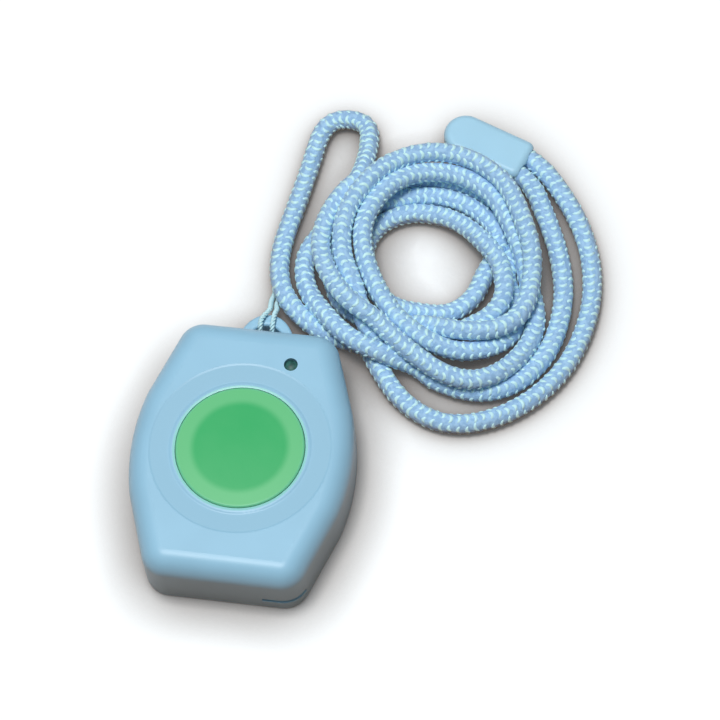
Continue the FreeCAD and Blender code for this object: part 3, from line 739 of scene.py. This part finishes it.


# crest runs from -1 at a stroke's foot to 1 on its top, and tone is one value for each stroke;
# the blue foot and near-white top are partly the yarn's paleness, partly painted shade and painted
# highlight
def cordYarn(look):
    material, graph, place = newMaterial("cordYarn")
    fibre = graph.noise(place, look["yarnFibre"], 2.0, 0.6)
    crest = graph.node("ShaderNodeAttribute", {"attribute_name": "crest"}).out("Fac")
    tone = graph.node("ShaderNodeAttribute", {"attribute_name": "tone"}).out("Fac")
    colour = graph.blendColour(graph.fade(crest, -0.4, 0.4), look["core"], look["yarnDeep"])
    pale = graph.fade(crest + (fibre - 0.5) * 0.5, look["strokeStart"], look["strokeEnd"]) * tone
    closeMaterial(graph, {
        "Base Color": graph.blendColour(pale, colour, look["yarn"]),
        "Roughness": look["yarnRoughness"] + fibre * 0.12,
        "Normal": graph.bump(fibre, look["yarnDepth"]),
        "Specular IOR Level": look["yarnShine"],
        "Specular Tint": look["glint"],
        "Sheen Weight": look["yarnSheen"],
        "Sheen Tint": look["glint"],
    })
    return material


stroke = strokeMesh("stroke", strokeLook)
sizes = dict(cordKnit, stroke=stroke)
lanyard = pathObject("lanyard", resampled(cordPath, 0.8 * mm))
bake(lanyard, knitTree(sizes, cordCore(cordLook), cordYarn(cordLook)), sizes)
smoothFaces(lanyard)
bpy.data.objects.remove(stroke)
bpy.data.objects.remove(cordLine)
print("lanyard:", len(lanyard.data.polygons), "faces")


# string's route: points in mm from under the cord up to the lug, hitched round its bar and back
stringRoute = {
    "diameter": 1.25 * mm,
    "strands": 3,
    "points": [
        (-0.1, 46.4, 0.7), (-0.2, 45.0, 0.7), (-0.4, 43.2, 1.3), (-0.5, 41.4, 2.9), (-0.3, 39.6, 4.4),
        (0.0, 37.8, 5.6), (-1.5, 35.7, 5.95), (-1.7, 34.1, 5.95), (-1.7, 32.9, 4.8), (-1.7, 32.9, 1.7),
        (-1.7, 34.1, 0.7), (-1.7, 38.2, 0.7), (1.0, 38.2, 0.7), (1.0, 34.1, 0.7), (1.0, 32.9, 1.7),
        (1.0, 32.9, 4.8), (1.0, 34.1, 5.95), (1.1, 36.8, 5.95), (1.4, 38.3, 4.9), (0.9, 39.6, 3.2),
        (0.5, 41.2, 1.5), (0.9, 43.2, 0.7), (1.6, 45.4, 0.7),
    ],
}
stringTwist = {
    "strandRadius": 0.33 * mm, "strandReach": 0.29 * mm, "strandSides": 7,
    "twist": 2600.0, "step": 0.25 * mm,
}
stringLook = {
    "deep": (0.50, 0.84, 0.95, 1), "pale": (0.78, 1.0, 1.0, 1),
    "fibre": 0.1 * mm, "depth": 0.02 * mm, "roughness": 0.38, "sheen": 0.15,
}


def stringFibre(look):
    material, graph, place = newMaterial("stringFibre")
    fibre = graph.noise(place, look["fibre"], 2.0, 0.6)
    closeMaterial(graph, {
        "Base Color": graph.blendColour(graph.fade(fibre, 0.3, 0.7), look["deep"], look["pale"]),
        "Roughness": look["roughness"] + fibre * 0.1,
        "Normal": graph.bump(fibre, look["depth"]),
        "Sheen Weight": look["sheen"],
    })
    return material


def twistTree(sizes, strands, fibre):
    tree, graph, given = newTree("twist", sizes)
    line = graph.node("GeometryNodeMeshToCurve", {}, {"Mesh": given.out("Geometry")})
    line = graph.node("GeometryNodeResampleCurve", {"mode": "LENGTH"},
                      {"Curve": line, "Length": given.out("step")})
    run = graph.node("GeometryNodeSplineParameter").out("Length")
    line = graph.node("GeometryNodeSetCurveTilt", {}, {"Curve": line, "Tilt": run * given.out("twist")})
    whole = None
    for strand in range(strands):
        disc = graph.node("GeometryNodeCurvePrimitiveCircle", {},
                          {"Resolution": given.out("strandSides"), "Radius": given.out("strandRadius")})
        way = 2 * math.pi * strand / strands
        offset = graph.node("ShaderNodeCombineXYZ", {}, {
            "X": given.out("strandReach") * math.cos(way),
            "Y": given.out("strandReach") * math.sin(way),
        })
        disc = graph.node("GeometryNodeTransform", {}, {"Geometry": disc, "Translation": offset})
        tube = graph.node("GeometryNodeCurveToMesh", {},
                          {"Curve": line, "Profile Curve": disc, "Fill Caps": True})
        if whole is None:
            whole = graph.node("GeometryNodeJoinGeometry", {}, {"Geometry": tube})
        else:
            tree.links.new(tube.socket, whole.socket.node.inputs["Geometry"])
    whole = graph.node("GeometryNodeRealizeInstances", {}, {"Geometry": whole})
    whole = graph.node("GeometryNodeSetMaterial", {}, {"Geometry": whole, "Material": fibre})
    graph.node("NodeGroupOutput", {}, {"Geometry": whole})
    return tree


stringLine = nurbsCurve("stringLine", np.array(stringRoute["points"]) * mm)
stringPath = linePoints(stringLine)
loop = pathObject("neckString", stringPath)
bake(loop, twistTree(stringTwist, stringRoute["strands"], stringFibre(stringLook)), stringTwist)
smoothFaces(loop)
bpy.data.objects.remove(stringLine)

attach(lanyard, "case")
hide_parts("lanyard_outer", "lanyard_inner", "lanyard_coil")
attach(loop, "case")
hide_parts("string_loop")
print("cord and string ride on the case")


# studio: white floor that keeps the shadow and has painted shade near the object, one soft light above, a
# sky that is dark near the horizon
studio = {
    "floorSize": 6.0, "floorSeen": 0.98, "floorLift": 0.16, "floorBounce": (0.34, 0.11, 0.02, 1),
    "shadeReach": 12 * mm, "shadeSamples": 12, "shadePowers": (1.52, 1.62, 1.68), "shadeEnd": 0.05,
    "lightSize": 0.35, "lightPower": 10.15, "lightAt": Vector((-0.10, 0.03, 1.2)),
    "lightAim": Vector((0.02, 0.03, 0)),
    "skyHigh": 0.48, "skyLow": 0.02, "skyStart": 0.35, "skyEnd": 0.95, "skyTint": (0.80, 0.93, 1.0, 1),
}


# floorSeen and floorLift make it white to the camera, floorBounce is what it sends up to the object
def floorPaper(look):
    material, graph, _ = newMaterial("floorPaper")
    seen = graph.node("ShaderNodeLightPath")
    direct = graph.math("MAXIMUM", seen.out("Is Camera Ray"), seen.out("Is Glossy Ray"))
    direct = graph.math("MAXIMUM", direct, seen.out("Is Transmission Ray"))
    # painted shade: the floor's colour and glow darken with its ambient occlusion near the object and
    # between strands, browner where deeper
    openness = graph.node("ShaderNodeAmbientOcclusion", {"samples": look["shadeSamples"]},
                          {"Distance": look["shadeReach"]}).out("AO")
    levels = [graph.math("POWER", openness, power) * look["floorSeen"] for power in look["shadePowers"]]
    paintedShadePaper = graph.node("ShaderNodeCombineXYZ", {}, dict(zip("XYZ", levels)))
    tone = graph.blendColour(direct, look["floorBounce"], paintedShadePaper)
    paper = graph.node("ShaderNodeBsdfDiffuse", {}, {"Color": tone})
    lift = direct * (openness * (look["floorLift"] - look["shadeEnd"]) + look["shadeEnd"])
    glow = graph.node("ShaderNodeEmission", {}, {"Color": (1, 1, 1, 1), "Strength": lift})
    both = graph.node("ShaderNodeAddShader", {}, {0: paper, 1: glow})
    graph.node("ShaderNodeOutputMaterial", {}, {"Surface": both})
    return material


def addFloor(look):
    mesh = bpy.data.meshes.new("floor")
    half = look["floorSize"] / 2
    corners = [(-half, -half, 0), (half, -half, 0), (half, half, 0), (-half, half, 0)]
    mesh.from_pydata(corners, [], [(0, 1, 2, 3)])
    mesh.materials.append(floorPaper(look))
    floor = bpy.data.objects.new("floor", mesh)
    bpy.context.scene.collection.objects.link(floor)


def addSoftbox(look):
    data = bpy.data.lights.new("softbox", "AREA")
    data.shape = "SQUARE"
    data.size = look["lightSize"]
    data.energy = look["lightPower"]
    softbox = bpy.data.objects.new("softbox", data)
    softbox.location = look["lightAt"]
    softbox.rotation_euler = (look["lightAim"] - look["lightAt"]).to_track_quat("-Z", "Y").to_euler()
    bpy.context.scene.collection.objects.link(softbox)


def addSky(look):
    world = bpy.data.worlds.new("studio")
    world.use_nodes = True
    world.node_tree.nodes.clear()
    graph = Graph(world.node_tree)
    seen = graph.node("ShaderNodeLightPath")
    direct = graph.math("MAXIMUM", seen.out("Is Camera Ray"), seen.out("Is Transmission Ray"))
    around = graph.node("ShaderNodeTexCoord").out("Generated")
    way = graph.node("ShaderNodeSeparateXYZ", {}, {"Vector": around})
    level = graph.fade(way.out("Z"), look["skyStart"], look["skyEnd"], look["skyLow"], look["skyHigh"])
    strength = direct + (1 - direct) * level
    tint = graph.blendColour(direct, look["skyTint"], (1, 1, 1, 1))
    sky = graph.node("ShaderNodeBackground", {}, {"Color": tint, "Strength": strength})
    graph.node("ShaderNodeOutputWorld", {}, {"Surface": sky})
    bpy.context.scene.world = world


addFloor(studio)
addSoftbox(studio)
addSky(studio)
bpy.context.scene.view_settings.view_transform = "Standard"
print("studio set")
